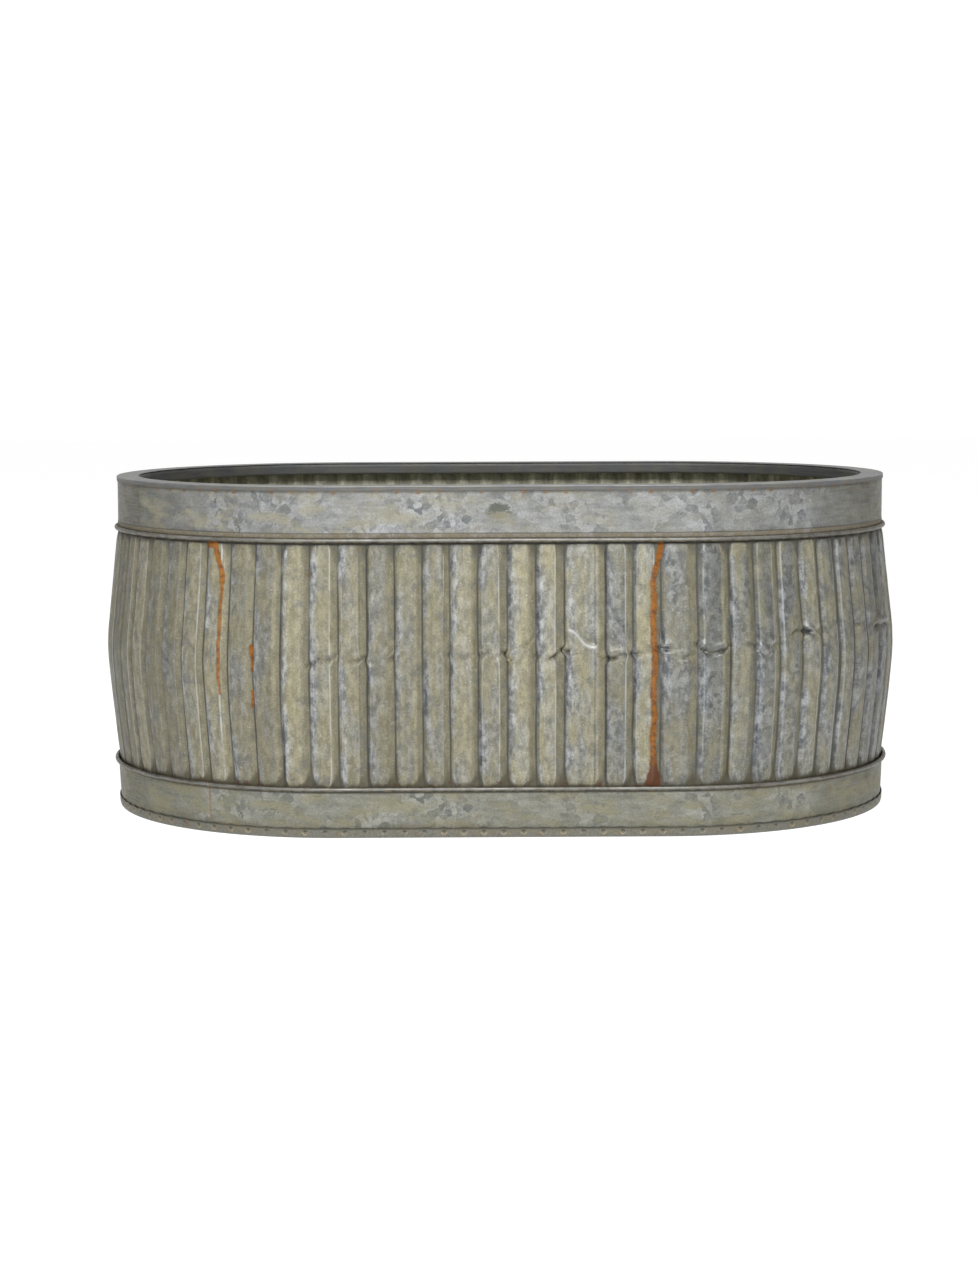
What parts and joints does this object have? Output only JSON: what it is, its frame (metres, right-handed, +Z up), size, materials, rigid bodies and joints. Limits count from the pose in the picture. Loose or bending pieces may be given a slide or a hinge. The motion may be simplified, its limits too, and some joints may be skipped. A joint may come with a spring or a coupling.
{
  "type": "livestock water trough",
  "caption": "Oval free-standing water trough of aged galvanised sheet: a bulged, fluted wall between two wired bands, with a flat capped rim and a lipped floor pan.",
  "frame": {"origin": "on the ground under the middle of the oval floor pan", "axes": "+X along the trough, to the right seen from its front; +Y to the back; +Z up"},
  "size_m": [1.0311, 0.6312, 0.4286],
  "materials": {
    "wall_sheet": "fluted galvanised sheet, dull grey with a beige and olive patina, worn bright on the flutes' edges, rust runs",
    "band_sheet": "galvanised sheet with grey spangle, beige haze and a brown line of grime at the wired edge",
    "rim_sheet": "smooth galvanised sheet, satin mid grey",
    "floor_sheet": "galvanised sheet, dull, stained brown along its lip",
    "hem_wire": "drawn steel wire, hidden inside the rolled edges",
    "solder": "dull grey soft solder"
  },
  "bodies": {
    "root": {"floor_pan": "floor_sheet", "floor_solder": "solder", "wall_sheet_left": "wall_sheet", "wall_sheet_right": "wall_sheet", "wall_sheet_back": "wall_sheet", "lap_solder_front": "solder", "lap_solder_left": "solder", "lap_solder_right": "solder", "lower_band_front": "band_sheet", "lower_band_back": "band_sheet", "upper_band_front": "band_sheet", "upper_band_back": "band_sheet", "lower_hem_wire_front": "hem_wire", "lower_hem_wire_back": "hem_wire", "upper_hem_wire_front": "hem_wire", "upper_hem_wire_back": "hem_wire", "rim_ring_left": "rim_sheet", "rim_ring_right": "rim_sheet", "inner_skirt_left": "rim_sheet", "inner_skirt_right": "rim_sheet"}
  },
  "joints": []
}
